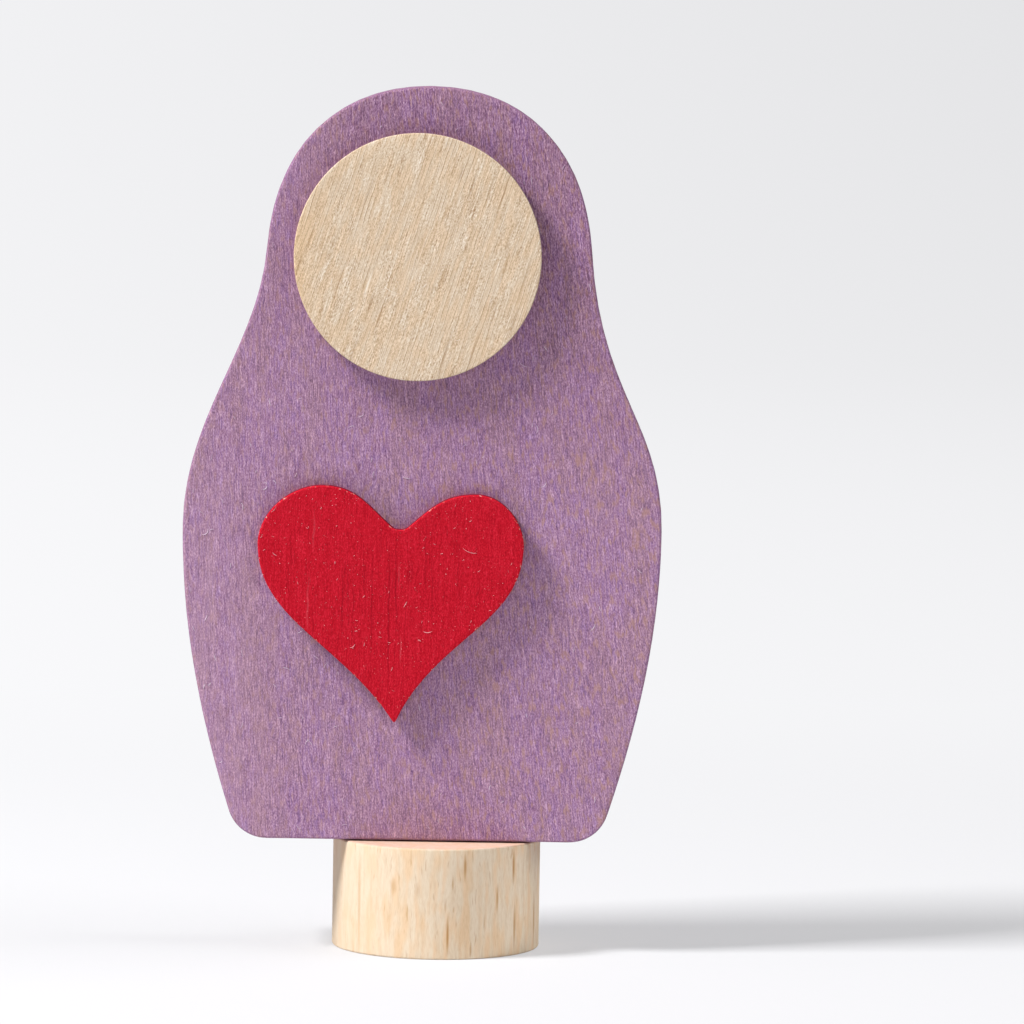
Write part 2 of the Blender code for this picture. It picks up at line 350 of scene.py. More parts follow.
# %% [markdown]
# ## Edges and faces of a sawn blank
# Every piece here is a flat blank with a straight wall and rounded-over edges. An extruded curve with a
# bevel would give that, but its faces would be dead flat. Here the wall and edges are rings of points
# and both faces are filled with a fine lattice, so the grain can stand up in real relief on them. The
# lattice leans with the grain. A sharp tip, such as the heart's, keeps its point, because the rounding
# runs out just before it.

# %% Rings and lattice
EDGE_STEPS = 6
WALL_STEPS = 8
FIRST_STEP = 0.75  # of the lattice's step, from the edge to the first point of a row
BRICK_SHIFT = 0.5
SHARP_TURN = math.radians(25)
EASE_RUN = 1.0  # mm from a sharp tip over which the rounding grows


def inward(line):
    """The direction into the material at each point of an anticlockwise outline."""
    made = []
    for a, b in zip(line[-1:] + line[:-1], line[1:] + line[:1]):
        along = (b - a).normalized()
        made.append(Vector((-along.y, along.x)))
    return made


def ease_share(line):
    """How much of the eased edge each point gets: none at a sharp tip, all of it a little way off."""
    tips = [b for a, b, c in zip(line[-1:] + line[:-1], line, line[1:] + line[:1])
            if (c - b).angle_signed(b - a) > SHARP_TURN]
    return [min([1.0] + [(p - tip).length / EASE_RUN for tip in tips]) for p in line]


def lattice(line, across, along, lean):
    """Points inside a closed line in rows laid like bricks, every second row half a step further on.

    The rows lean with the grain, in degrees.
    """
    turn = Matrix.Rotation(math.radians(lean), 2)
    back = Matrix.Rotation(math.radians(-lean), 2)
    line = [turn @ p for p in line]
    points = []
    low, high = min(p.y for p in line), max(p.y for p in line)
    for row in range(1, int((high - low) / along)):
        v = low + row * along
        cuts = sorted(a.x + (v - a.y) / (b.y - a.y) * (b.x - a.x)
                      for a, b in zip(line, line[1:] + line[:1]) if (a.y <= v) != (b.y <= v))
        for start, end in zip(cuts[::2], cuts[1::2]):
            for k in range(int((end - start) / across) - 1):
                steps = k + FIRST_STEP + BRICK_SHIFT * (row % 2)
                points.append(back @ Vector((start + steps * across, v)))
    return points


def edge_rings(low, high, edge):
    """Level, inset and turn of each ring of points from one face to the other."""
    rings = []
    for k in range(EDGE_STEPS + 1):
        a = math.radians(90) * k / EDGE_STEPS
        rings.append((low + edge * (1 - math.cos(a)), edge * (1 - math.sin(a)), k / EDGE_STEPS))
    straight = high - low - 2 * edge
    wall = [(low + edge + straight * k / WALL_STEPS, 0.0, 1.0) for k in range(1, WALL_STEPS)]
    return rings + wall + [(low + high - w, inset, turn) for w, inset, turn in reversed(rings)]


print("rings of points round the board:", len(edge_rings(board_front, board_back, BOARD_EDGE)))

# %% [markdown]
# ## A sawn and sanded piece
# The rings are joined by four-sided faces, and the lattice is joined to the first and the last ring by
# triangles, so each blank is one closed skin. Joining separate caps and walls would be simpler, but would
# leave open seams in the exported model. The points carry a turn value, 0 on a face and 1 on the wall, by
# which a material can find the edges.

# %% Build a sawn piece
INSIDE_ONLY = 1  # tells the filling tool to keep the triangles within the outline
SAME_POINT = 1e-5


def sawn_piece(name, line, low, high, edge, place, spacing, lean, relief, wall_relief):
    """A closed mesh between two levels inside an outline, all in mm.

    place turns (u, v, level) into a world point. spacing is the lattice's pitch across and along the
    grain. relief and wall_relief give how far, in mm, the surface stands in from the drawn one.
    """
    bm = bmesh.new()
    turn_layer = bm.verts.layers.float.new("turn")
    into = inward(line)
    share = ease_share(line)
    loops = []
    for level, inset, turn in edge_rings(low, high, edge):
        loop = []
        for p, n, s in zip(line, into, share):
            q = p + n * s * (inset + wall_relief(p, level))
            vert = bm.verts.new(Vector(place(q.x, q.y, level)) * MM)
            vert[turn_layer] = turn
            loop.append(vert)
        loops.append(loop)
    for one, two in zip(loops, loops[1:]):
        for k in range(len(one)):
            bm.faces.new((one[k - 1], one[k], two[k], two[k - 1]))
    flat_line = [p + n * s * edge for p, n, s in zip(line, into, share)]
    inner = lattice(flat_line, spacing[0], spacing[1], lean)
    count = len(flat_line)
    filled = geometry.delaunay_2d_cdt(flat_line + inner, [], [list(range(count))], INSIDE_ONLY, SAME_POINT)
    for level, loop, side in ((low, loops[0], 1), (high, loops[-1], -1)):
        verts = []
        for spot, origin in zip(filled[0], filled[3]):
            if origin and origin[0] < count:
                verts.append(loop[origin[0]])
            else:
                depth = level + side * relief(spot, side)
                verts.append(bm.verts.new(Vector(place(spot.x, spot.y, depth)) * MM))
        for corners in filled[2]:
            bm.faces.new([verts[i] for i in corners])
    bmesh.ops.recalc_face_normals(bm, faces=bm.faces)
    for face in bm.faces:
        face.smooth = True
    mesh = bpy.data.meshes.new(name)
    bm.to_mesh(mesh)
    open_edges = sum(1 for e in bm.edges if len(e.link_faces) != 2)
    bm.free()
    piece = bpy.data.objects.new(name, mesh)
    bpy.context.scene.collection.objects.link(piece)
    print(name, len(mesh.vertices), "points,", open_edges, "open edges")
    return piece


def upright(u, v, level):
    """A board's (across, up, depth) in the world: it stands facing the front."""
    return u, level, v


def lying(u, v, level):
    """A plug's (across, back, height) in the world."""
    return u, v, level


print("1 across, 2 up and 3 deep is", upright(1, 2, 3), "in the world")

# %% [markdown]
# ## Grain relief
# Sanding leaves the hard lines of the grain a hundredth of a millimetre or so above the soft ones. A bump
# in the material would show that, but would be lost from the mesh. Here it is noise that changes fast
# across the grain and slowly along it, and it only ever cuts inwards, so no piece outgrows its CAD solid.
# Sawn walls get slow waves and a fine ripple in the same way.

# %% Relief of sanded wood
# Shares of the fine and the broad relief, and how many times wider and longer the broad one is.
FINE_SHARE = 0.7
BROAD_SHARE = 0.3
BROAD_WIDTHS = 6
BROAD_LENGTHS = 4
# Shares of waves and ripple in a wall, and the ripple's size in mm round the piece and through it.
WAVE_SHARE = 0.6
RIPPLE_SHARE = 0.4
RIPPLE_WIDTH = 0.4
RIPPLE_HEIGHT = 2.5


def grain_relief(depth, width, length, lean, seed):
    """A relief function: how deep, in mm, the sanded face lies under the drawn one at a spot."""
    turn = Matrix.Rotation(math.radians(lean), 2)

    def relief(spot, side):
        p = turn @ spot
        fine = noise.noise(Vector((p.x / width, p.y / length, seed + side)))
        wide = Vector((p.x / (BROAD_WIDTHS * width), p.y / (BROAD_LENGTHS * length), seed - side))
        return depth * (1 + FINE_SHARE * fine + BROAD_SHARE * noise.noise(wide))

    return relief


def saw_relief(depth, length, seed):
    """How far, in mm, a sanded wall stands in from the drawn line: slow waves and fine saw ripple."""

    def relief(spot, level):
        wave = noise.noise(Vector((spot.x / length, spot.y / length, seed)))
        close = Vector((spot.x / RIPPLE_WIDTH, spot.y / RIPPLE_WIDTH, level / RIPPLE_HEIGHT + seed))
        return depth * (1 + WAVE_SHARE * wave + RIPPLE_SHARE * noise.noise(close))

    return relief


print("relief is drawn from noise with fixed seeds")

# %% [markdown]
# ## The pieces
# Each blank takes its outline and levels from the CAD. The CAD solids themselves could be shown, but they
# have too few points to carry grain. The glued pieces reach back through the 0.1 mm glue film to just short
# of the board, because a dried film is too thin to see as a gap. Sizes are in mm, leans in degrees.

# %% Board, disc, heart and plug
BEDDING = 0.09  # how far a glued piece reaches into the film
BOARD_EASE = 0.22
DISC_EASE = 0.12
PLUG_EASE = 0.2
BOARD_LEAN = 7
DISC_LEAN = -18
HEART_LEAN = 0
PLUG_LEAN = 0
# Steps of the lattice across and along the grain.
FACE_PITCH = (0.2, 0.8)
PLUG_PITCH = (0.5, 0.5)
board = sawn_piece(
    "lilac_board", board_line, board_front, board_back, BOARD_EASE, upright, FACE_PITCH, BOARD_LEAN,
    grain_relief(depth=0.012, width=0.3, length=2.5, lean=BOARD_LEAN, seed=3.1),
    saw_relief(depth=0.02, length=3.0, seed=5.2))
disc = sawn_piece(
    "maple_face_disc", disc_line, disc_front, disc_back + BEDDING, DISC_EASE, upright, FACE_PITCH, DISC_LEAN,
    grain_relief(depth=0.006, width=0.35, length=4.0, lean=DISC_LEAN, seed=8.4),
    saw_relief(depth=0.012, length=5.0, seed=1.7))
heart = sawn_piece(
    "red_heart", heart_line, heart_front, heart_back + BEDDING, HEART_EDGE, upright, FACE_PITCH, HEART_LEAN,
    grain_relief(depth=0.008, width=0.3, length=3.0, lean=HEART_LEAN, seed=6.3),
    saw_relief(depth=0.02, length=2.0, seed=9.6))
plug = sawn_piece(
    "beech_plug", plug_line, plug_foot, plug_top, PLUG_EASE, lying, PLUG_PITCH, PLUG_LEAN,
    grain_relief(depth=0.006, width=0.5, length=0.5, lean=PLUG_LEAN, seed=2.2),
    saw_relief(depth=0.008, length=1.0, seed=4.9))

# %% [markdown]
# ## Wood grain
# All four woods are close-grained and seen at about 0.1 mm to the pixel. What shows is a fuzz of cut
# fibre ends and short streaks of vessels along the grain, which wander a little. Both are solid noise in
# millimetres, so faces and sawn edges agree, as they do in real wood. An image would have to be unwrapped
# and would stop at the edges. Placed strokes add the marks that catch the eye.

# %% Grain in millimetres
# Real fibres are about 0.03 mm wide, too fine to show, so the fuzz is drawn at about a pixel.
FUZZ_WIDTH = 0.08
FUZZ_LENGTH = 0.18
SWAYS = 0.6  # per mm
# A placed stroke is full inside this share of its half size and gone beyond the other.
STROKE_CORE = 0.3
STROKE_RIM = 1.1


def grain_space(tree, slant, fan, wander):
    """Places in mm, sheared so that the grain runs straight up.

    slant is the sideways shift, for each mm up, that sets the leaning grain upright, and fan is its
    growth for each mm of x. wander is how far, in mm, the lines sway to the sides.
    """
    across = add(tree, "SeparateXYZ", [add(tree, "TexCoord", out="Object")])
    up = across.node.outputs["Z"]
    slope = add(tree, "Math", [across, fan / MM, slant], operation="MULTIPLY_ADD")
    straight = add(tree, "Math", [up, slope, across], operation="MULTIPLY_ADD")
    joined = add(tree, "CombineXYZ", [straight, across.node.outputs["Y"], up])
    place = add(tree, "VectorMath", {"Vector": joined, "Scale": 1 / MM}, operation="SCALE")
    sway = add(tree, "TexNoise", {"Vector": place, "Scale": SWAYS, "Detail": 1.0}, out="Color")
    return add(tree, "VectorMath", [sway, (wander, wander, 0.0), place], operation="MULTIPLY_ADD")


def grain(tree, space, width, length, seed):
    """Solid noise with marks width mm across the grain and length mm along it, as a grey socket."""
    pitch = (1 / width, 1 / width, 1 / length)
    stretched = add(tree, "VectorMath", [space, pitch, (seed, 2 * seed, 3 * seed)], operation="MULTIPLY_ADD")
    return add(tree, "TexNoise", {"Vector": stretched, "Scale": 1.0, "Detail": 1.0})


def marks(tree, place, rows):
    """Soft upright strokes placed one by one, as a grey socket.

    place is a socket in mm, and each row is a stroke's x, height, half width, half length and depth.
    """
    joined = 0.0
    for x, height, half_width, half_length, depth in rows:
        spread = (1 / half_width, 0.0, 1 / half_length)
        shift = (-x / half_width, 0.0, -height / half_length)
        away = add(tree, "VectorMath", [place, spread, shift], operation="MULTIPLY_ADD")
        away = add(tree, "VectorMath", [away], operation="LENGTH", out="Value")
        mark = add(tree, "MapRange", {"Value": away, "From Min": STROKE_RIM, "From Max": STROKE_CORE,
                                      "To Max": depth})
        joined = add(tree, "Math", [joined, mark], operation="MAXIMUM")
    return joined


print("fuzz drawn", FUZZ_WIDTH, "mm wide")

# %% [markdown]
# ## Lilac-stained lime
# The board is lime, sanded and brushed with a thin water stain, which raises the grain. The stain sinks
# in unevenly. It leaves a fuzz of light and dark fibres, violet streaks where it pooled between them,
# and tan flecks, most of them on the right, where bare wood shows. The board is paler, in bands, on the
# left flank, and the grain stands up most at the head, where painted shade in its hollows darkens it.
# Painted shade also darkens the rounded edge. One colour would look like plastic, so each of these is a
# layer of noise, mixed over the last one.

# %% Lilac-stained lime
# Places between which a layer grows: x or height in mm.
BARE_RUN = (-16.0, 6.0)
FLANK_RUN = (-12.0, -19.0)
SKIRT_RUN = (48.0, 36.0)
HEAD_RUN = (40.0, 60.0)
INNER_RUN = (-10.0, -3.0)


def lilac_stain():
    """Water stain on sanded lime: to the eye it is matt and mottled, with no highlight anywhere."""
    material, tree, surface = start_material("lilac-stained lime, sanded")
    space = grain_space(tree, slant=0.09, fan=0.003, wander=0.35)
    aside = add(tree, "SeparateXYZ", [space])
    height = aside.node.outputs["Z"]
    # Light and dark fibres, and long dark splits between them.
    fuzz = grain(tree, space, width=FUZZ_WIDTH, length=FUZZ_LENGTH, seed=1.3)
    streak = grain(tree, space, width=0.1, length=1.5, seed=4.7)
    mixed = add(tree, "Mix", [0.42, fuzz, streak])
    wood = add(tree, "ValToRGB", [mixed], stops=[(0.25, "#6B426C"), (0.5, "#A980A1"), (0.75, "#E5C0DB")])
    split = grain(tree, space, width=0.09, length=3.2, seed=6.6)
    split = add(tree, "ValToRGB", [split], stops=[(0.6, 0.0), (0.74, 0.5)])
    wood = add(tree, "Mix", [split, wood, "#6E4870"], data_type="RGBA")
    # Violet where the stain pooled, rosy clouds, and tan flecks of bare wood.
    pooled = grain(tree, space, width=0.16, length=1.2, seed=9.1)
    pooled = add(tree, "ValToRGB", [pooled], stops=[(0.48, 0.0), (0.68, 0.42)])
    wood = add(tree, "Mix", [pooled, wood, "#8466A2"], data_type="RGBA", blend_type="COLOR")
    cloud = grain(tree, space, width=1.7, length=8.0, seed=2.2)
    cloud = add(tree, "ValToRGB", [cloud], stops=[(0.4, 0.0), (0.65, 0.45)])
    wood = add(tree, "Mix", [cloud, wood, "#B58E9B"], data_type="RGBA", blend_type="COLOR")
    bare = grain(tree, space, width=0.33, length=1.0, seed=7.7)
    bare = add(tree, "ValToRGB", [bare], stops=[(0.53, 0.0), (0.7, 0.55)])
    right = add(tree, "MapRange", {"Value": aside, "From Min": BARE_RUN[0], "From Max": BARE_RUN[1],
                                   "To Min": 0.5})
    bare = add(tree, "Math", [bare, right], operation="MULTIPLY")
    wood = add(tree, "Mix", [bare, wood, "#BA8F7E"], data_type="RGBA")
    # Paler, in bands, on the left flank below the head.
    flank = add(tree, "MapRange", {"Value": aside, "From Min": FLANK_RUN[0], "From Max": FLANK_RUN[1],
                                   "To Max": 0.22})
    skirt = add(tree, "MapRange", {"Value": height, "From Min": SKIRT_RUN[0], "From Max": SKIRT_RUN[1]})
    pale_flank = add(tree, "Math", [flank, skirt], operation="MULTIPLY")
    band = grain(tree, space, width=1.1, length=9.0, seed=8.3)
    band = add(tree, "ValToRGB", [band], stops=[(0.35, 0.3), (0.65, 1.0)])
    pale_flank = add(tree, "Math", [pale_flank, band], operation="MULTIPLY")
    wood = add(tree, "Mix", [pale_flank, wood, "#CFA9BC"], data_type="RGBA")
    # Painted shade in the hollows of the raised grain, growing towards the head, less of it at the left.
    deep = add(tree, "MapRange", {"Value": height, "From Min": HEAD_RUN[0], "From Max": HEAD_RUN[1],
                                  "To Max": 0.9})
    inner = add(tree, "MapRange", {"Value": aside, "From Min": INNER_RUN[0], "From Max": INNER_RUN[1],
                                   "To Min": 0.3})
    deep = add(tree, "Math", [deep, inner], operation="MULTIPLY")
    raised = grain(tree, space, width=0.1, length=0.4, seed=1.7)
    raised = add(tree, "ValToRGB", [raised], stops=[(0.44, 0.0), (0.64, 1.0)])
    raised = add(tree, "Math", [raised, deep], operation="MULTIPLY")
    wood = add(tree, "Mix", [raised, wood, "#CBBACB"], data_type="RGBA", blend_type="MULTIPLY")
    # Painted shade along the rounded edge, which darkens it.
    turn = add(tree, "Attribute", attribute_name="turn", out="Fac")
    edge = add(tree, "MapRange", {"Value": turn, "From Min": 0.1, "From Max": 0.7, "To Max": 0.5})
    wood = add(tree, "Mix", [edge, wood, "#6E5068"], data_type="RGBA")
    tree.links.new(wood, surface.inputs["Base Color"])
    rougher = add(tree, "Math", [deep, 0.8, 1.0], operation="MULTIPLY_ADD")
    relief = add(tree, "Math", [mixed, rougher], operation="MULTIPLY")
    bump = add(tree, "Bump", {"Height": relief, "Strength": 0.8, "Distance": 0.02 * MM})
    tree.links.new(bump, surface.inputs["Normal"])
    surface.inputs["Roughness"].default_value = 0.8
    surface.inputs["Specular IOR Level"].default_value = 0.15
    return material


board.data.materials.append(lilac_stain())
print("board:", board.data.materials[0].name)

# %% [markdown]
# ## Natural maple
# The face disc is bare maple, sanded smooth: pale, with fine lines that lean to the right, longer ones
# scored in waves, and a warmer rim on the left. The scores that catch the eye and one pale scratch are
# placed, and noise draws the rest. The wall is painted dark, so it sends little light back, and the board
# close round it looks shaded: painted shade.

# %% Natural maple
DISC_WARM = (-10.5, -13.5)  # x in mm between which the rim warms
DISC_SLOPE = -0.32  # sideways shift, for each mm up, that sets the grain upright
# Strokes, listed one by one: x and height of the middle, half width and half length in mm, and depth.
SCORES = (
    (-2.1, 71.7, 0.09, 3.4, 0.36), (2.3, 69.6, 0.12, 1.5, 0.57), (5.1, 68.9, 0.11, 2.5, 0.57),
    (3.9, 69.3, 0.11, 2.0, 0.4), (1.3, 70.8, 0.12, 0.9, 0.49), (0.1, 54.5, 0.12, 2.5, 0.59),
    (2.6, 54.8, 0.12, 2.2, 0.49), (4.4, 58.1, 0.12, 1.4, 0.49), (7.1, 61.1, 0.11, 2.4, 0.4),
    (6.2, 57.5, 0.11, 1.8, 0.49), (-9.5, 60.9, 0.11, 2.2, 0.49), (-6.7, 58.9, 0.14, 1.2, 0.49),
    (-5.7, 58.2, 0.12, 2.0, 0.57), (-8.1, 54.8, 0.12, 1.5, 0.57), (-12.1, 64.9, 0.11, 1.8, 0.49),
    (-7.1, 68.7, 0.11, 2.0, 0.36), (-13.2, 62.2, 0.14, 1.5, 0.4), (5.3, 62.2, 0.11, 2.0, 0.4))
SCRATCHES = ((-6.9, 60.7, 0.12, 1.5, 0.8),)


def maple():
    """Bare sanded maple: to the eye it is pale and close, with a faint sheen that fills the fine lines."""
    material, tree, surface = start_material("maple, sanded, bare")
    space = grain_space(tree, slant=DISC_SLOPE, fan=0.0, wander=0.15)
    # Fine fibres, and patches where the sander scored wavy lines.
    fuzz = grain(tree, space, width=FUZZ_WIDTH, length=FUZZ_LENGTH, seed=2.3)
    streak = grain(tree, space, width=0.1, length=3.2, seed=6.1)
    soft = add(tree, "Mix", [0.45, fuzz, streak])
    drawn = add(tree, "VectorMath", [space, (1.0, 1.0, 0.12)], operation="MULTIPLY")
    line = add(tree, "TexWave", {"Vector": drawn, "Scale": 0.8, "Distortion": 4.0, "Detail": 1.0,
                                 "Detail Scale": 1.2}, out="Fac", wave_profile="SAW")
    scored = add(tree, "ValToRGB", [line], stops=[(0.0, 0.15), (0.22, 0.52), (0.8, 0.52), (1.0, 0.75)])
    patch = grain(tree, space, width=0.9, length=5.0, seed=3.9)
    patch = add(tree, "MapRange", {"Value": patch, "From Min": 0.35, "From Max": 0.65, "To Max": 0.5})
    mixed = add(tree, "Mix", [patch, soft, scored])
    wood = add(tree, "ValToRGB", [mixed], stops=[(0.31, "#AA8360"), (0.5, "#DCC6AA"), (0.69, "#FBF1E4")])
    # Warmer clouds, and the warm rim.
    cloud = grain(tree, space, width=0.6, length=2.2, seed=5.5)
    cloud = add(tree, "ValToRGB", [cloud], stops=[(0.42, 0.0), (0.62, 0.35)])
    wood = add(tree, "Mix", [cloud, wood, "#E2BE94"], data_type="RGBA", blend_type="COLOR")
    aside = add(tree, "SeparateXYZ", [add(tree, "TexCoord", out="Object")])
    rim = add(tree, "MapRange", {"Value": aside, "From Min": DISC_WARM[0] * MM,
                                 "From Max": DISC_WARM[1] * MM, "To Max": 0.4},
              interpolation_type="SMOOTHSTEP")
    wood = add(tree, "Mix", [rim, wood, "#E4BE90"], data_type="RGBA", blend_type="COLOR")
    # The placed strokes, sheared with the grain, and the wall painted dark: painted shade, as it sends
    # little light back to the board close round it.
    for rows, tone in ((SCORES, "#A07548"), (SCRATCHES, "#FFF4E4")):
        strokes = [(x + DISC_SLOPE * height, height, *rest) for x, height, *rest in rows]
        wood = add(tree, "Mix", [marks(tree, space, strokes), wood, tone], data_type="RGBA")
    turn = add(tree, "Attribute", attribute_name="turn", out="Fac")
    wall = add(tree, "MapRange", {"Value": turn, "From Min": 0.3, "To Max": 0.9})
    wood = add(tree, "Mix", [wall, wood, "#6A4F5C"], data_type="RGBA")
    tree.links.new(wood, surface.inputs["Base Color"])
    bump = add(tree, "Bump", {"Height": mixed, "Strength": 0.5, "Distance": 0.02 * MM})
    tree.links.new(bump, surface.inputs["Normal"])
    surface.inputs["Roughness"].default_value = 0.65
    surface.inputs["Specular IOR Level"].default_value = 0.2
    return material


disc.data.materials.append(maple())
print("disc:", disc.data.materials[0].name)

# %% [markdown]
# ## Red-stained lime
# The heart took a strong red stain. Darker vessels run up the grain, the smallest dust shows as pale
# specks, and here and there the stain is rubbed off the face or the edge. The vessels and rubs that catch
# the eye are placed, because noise spaces its marks too evenly, and noise adds the finer ones.

# %% Red-stained lime
VESSELS = (
    (-8.7, 31.7, 0.1, 4.0, 0.6), (-8.2, 33.2, 0.09, 2.6, 0.5), (-7.7, 32.3, 0.09, 3.0, 0.45),
    (-6.05, 31.6, 0.1, 6.5, 0.5), (-4.5, 30.5, 0.11, 8.0, 0.6), (-3.85, 33.2, 0.1, 5.0, 0.55),
    (-1.2, 36.0, 0.09, 3.5, 0.45), (-0.6, 33.3, 0.09, 4.0, 0.4), (-13.4, 36.3, 0.09, 2.0, 0.45),
    (1.7, 35.1, 0.09, 3.0, 0.4), (-5.3, 37.7, 0.09, 2.5, 0.4))
RUBS = (
    (-11.35, 38.4, 0.12, 2.0, 0.15), (-11.8, 31.8, 0.12, 2.8, 0.18), (-3.6, 34.5, 0.09, 1.2, 0.15),
    (-3.4, 27.8, 0.09, 1.4, 0.25))


def red_stain():
    """Strong stain on sanded lime: to the eye it is deep red and matt, with its grain in darker red."""
    material, tree, surface = start_material("red-stained lime, sanded")
    space = grain_space(tree, slant=0.0, fan=0.0, wander=0.35)
    fuzz = grain(tree, space, width=FUZZ_WIDTH, length=FUZZ_LENGTH, seed=5.3)
    streak = grain(tree, space, width=0.1, length=2.6, seed=8.9)
    mixed = add(tree, "Mix", [0.35, fuzz, streak])
    wood = add(tree, "ValToRGB", [mixed], stops=[(0.25, "#9C0A1B"), (0.5, "#C41629"), (0.75, "#E42C43")])
    # Dark vessels, pale rubs and specks of dust.
    vessel = grain(tree, space, width=0.13, length=5.0, seed=2.9)
    vessel = add(tree, "ValToRGB", [vessel], stops=[(0.6, 0.0), (0.72, 0.4)])
    vessel = add(tree, "Math", [vessel, marks(tree, space, VESSELS)], operation="MAXIMUM")
    wood = add(tree, "Mix", [vessel, wood, "#8E0A1C"], data_type="RGBA")
    wood = add(tree, "Mix", [marks(tree, space, RUBS), wood, "#E2707C"], data_type="RGBA")
    dust = grain(tree, space, width=0.12, length=0.12, seed=3.3)
    dust = add(tree, "ValToRGB", [dust], stops=[(0.72, 0.0), (0.8, 0.6)])
    wood = add(tree, "Mix", [dust, wood, "#EFA3A8"], data_type="RGBA")
    # Nicks in the middle of the rounding, where 4 t (1 - t) of the turn t is 1, and the wall painted dark:
    # painted shade, as it sends little light back to the board close round it.
    turn = add(tree, "Attribute", attribute_name="turn", out="Fac")
    rest = add(tree, "Math", [1.0, turn], operation="SUBTRACT")
    both = add(tree, "Math", [turn, rest], operation="MULTIPLY")
    worn = add(tree, "Math", [both, 4.0], operation="MULTIPLY")
    nick = grain(tree, space, width=0.3, length=0.3, seed=7.3)
    nick = add(tree, "ValToRGB", [nick], stops=[(0.62, 0.0), (0.7, 0.8)])
    nick = add(tree, "Math", [nick, worn], operation="MULTIPLY")
    wood = add(tree, "Mix", [nick, wood, "#E6B4A8"], data_type="RGBA")
    wall = add(tree, "MapRange", {"Value": turn, "From Min": 0.75, "To Max": 0.8})
    wood = add(tree, "Mix", [wall, wood, "#4E1526"], data_type="RGBA")
    tree.links.new(wood, surface.inputs["Base Color"])
    bump = add(tree, "Bump", {"Height": mixed, "Strength": 0.5, "Distance": 0.015 * MM})
    tree.links.new(bump, surface.inputs["Normal"])
    surface.inputs["Roughness"].default_value = 0.75
    surface.inputs["Specular IOR Level"].default_value = 0.05
    return material


heart.data.materials.append(red_stain())
print("heart:", heart.data.materials[0].name)

# %% [markdown]
# ## Natural beech
# The plug is cut from a turned beech rod, so its grain runs up. Turning leaves it smooth, with warm
# streaks. Its left side, where the key light falls, is painted duller and darker: painted shade. Beech
# shows short brown rays; those on the front are placed one by one, because the eye knows them, and noise
# adds the rest. The top is pink, partly glue and stain, partly a painted reflection of the lilac board.
# The hidden dowel is beech too, browner and without the pink, so one function makes both.

# %% Natural beech
# The plug's left side is painted duller and darker: painted shade where the key light falls.
LEFT_SHADE_RUN = (-9.5, -2.0)  # x in mm between which the dull side ends
TOP_RUN = (0.15, 0.02)  # mm below the plug's top between which the pink begins
RAYS = (
    (2.6, 8.4, 0.14, 1.4, 0.75), (1.5, 6.9, 0.12, 0.8, 0.5), (0.85, 4.9, 0.12, 0.7, 0.4),
    (1.1, 2.2, 0.14, 1.9, 0.85), (7.0, 8.2, 0.13, 1.8, 0.85), (5.55, 5.4, 0.12, 1.4, 0.7),
    (7.15, 2.6, 0.13, 2.2, 0.7), (3.2, 0.9, 0.12, 0.8, 0.6), (4.4, 3.2, 0.1, 0.8, 0.4),
    (8.95, 3.0, 0.1, 2.6, 0.7), (-6.95, 4.8, 0.16, 4.6, 0.35), (-3.85, 6.5, 0.3, 0.9, 0.4),
    (-1.65, 6.3, 0.3, 0.8, 0.3))


def beech(name, pale, mean, dark, stain_and_reflection):
    """Turned beech: to the eye it is pale and smooth, with a soft sheen. blush is the pink at the top."""
    material, tree, surface = start_material(name)
    space = grain_space(tree, slant=0.0, fan=0.0, wander=0.35)
    aside = add(tree, "SeparateXYZ", [space])
    height = aside.node.outputs["Z"]
    fuzz = grain(tree, space, width=FUZZ_WIDTH, length=0.6, seed=2.7)
    streak = grain(tree, space, width=0.3, length=4.0, seed=3.7)
    mixed = add(tree, "Mix", [0.5, fuzz, streak])
    wood = add(tree, "ValToRGB", [mixed], stops=[(0.3, dark), (0.5, mean), (0.7, pale)])
    # Warm streaks, painted shade on the left side where the key light falls, and the pink top: partly glue
    # and stain, partly a painted reflection of the lilac board.
    warm = grain(tree, space, width=0.8, length=4.0, seed=5.3)
    warm = add(tree, "ValToRGB", [warm], stops=[(0.45, 0.0), (0.65, 0.5)])
    wood = add(tree, "Mix", [warm, wood, "#E8BE8C"], data_type="RGBA", blend_type="COLOR")
    side = add(tree, "MapRange", {"Value": aside, "From Min": LEFT_SHADE_RUN[0], "From Max": LEFT_SHADE_RUN[1],
                                  "To Min": 0.65, "To Max": 0.0})
    wood = add(tree, "Mix", [side, wood, "#CDB89E"], data_type="RGBA")
    top = add(tree, "MapRange", {"Value": height, "From Min": plug_top - TOP_RUN[0],
                                 "From Max": plug_top - TOP_RUN[1], "To Max": stain_and_reflection})
    wood = add(tree, "Mix", [top, wood, "#C09287"], data_type="RGBA")
    # Brown rays, drawn by noise and by hand.
    rays = grain(tree, space, width=0.22, length=1.8, seed=9.1)
    rays = add(tree, "ValToRGB", [rays], stops=[(0.66, 0.0), (0.76, 0.4)])
    still = add(tree, "VectorMath", {"Vector": add(tree, "TexCoord", out="Object"), "Scale": 1 / MM},
                operation="SCALE")
    rays = add(tree, "Math", [rays, marks(tree, still, RAYS)], operation="MAXIMUM")
    wood = add(tree, "Mix", [rays, wood, "#B98648"], data_type="RGBA")
    tree.links.new(wood, surface.inputs["Base Color"])
    bump = add(tree, "Bump", {"Height": mixed, "Strength": 0.2, "Distance": 0.01 * MM})
    tree.links.new(bump, surface.inputs["Normal"])
    surface.inputs["Roughness"].default_value = 0.6
    surface.inputs["Specular IOR Level"].default_value = 0.2
    return material


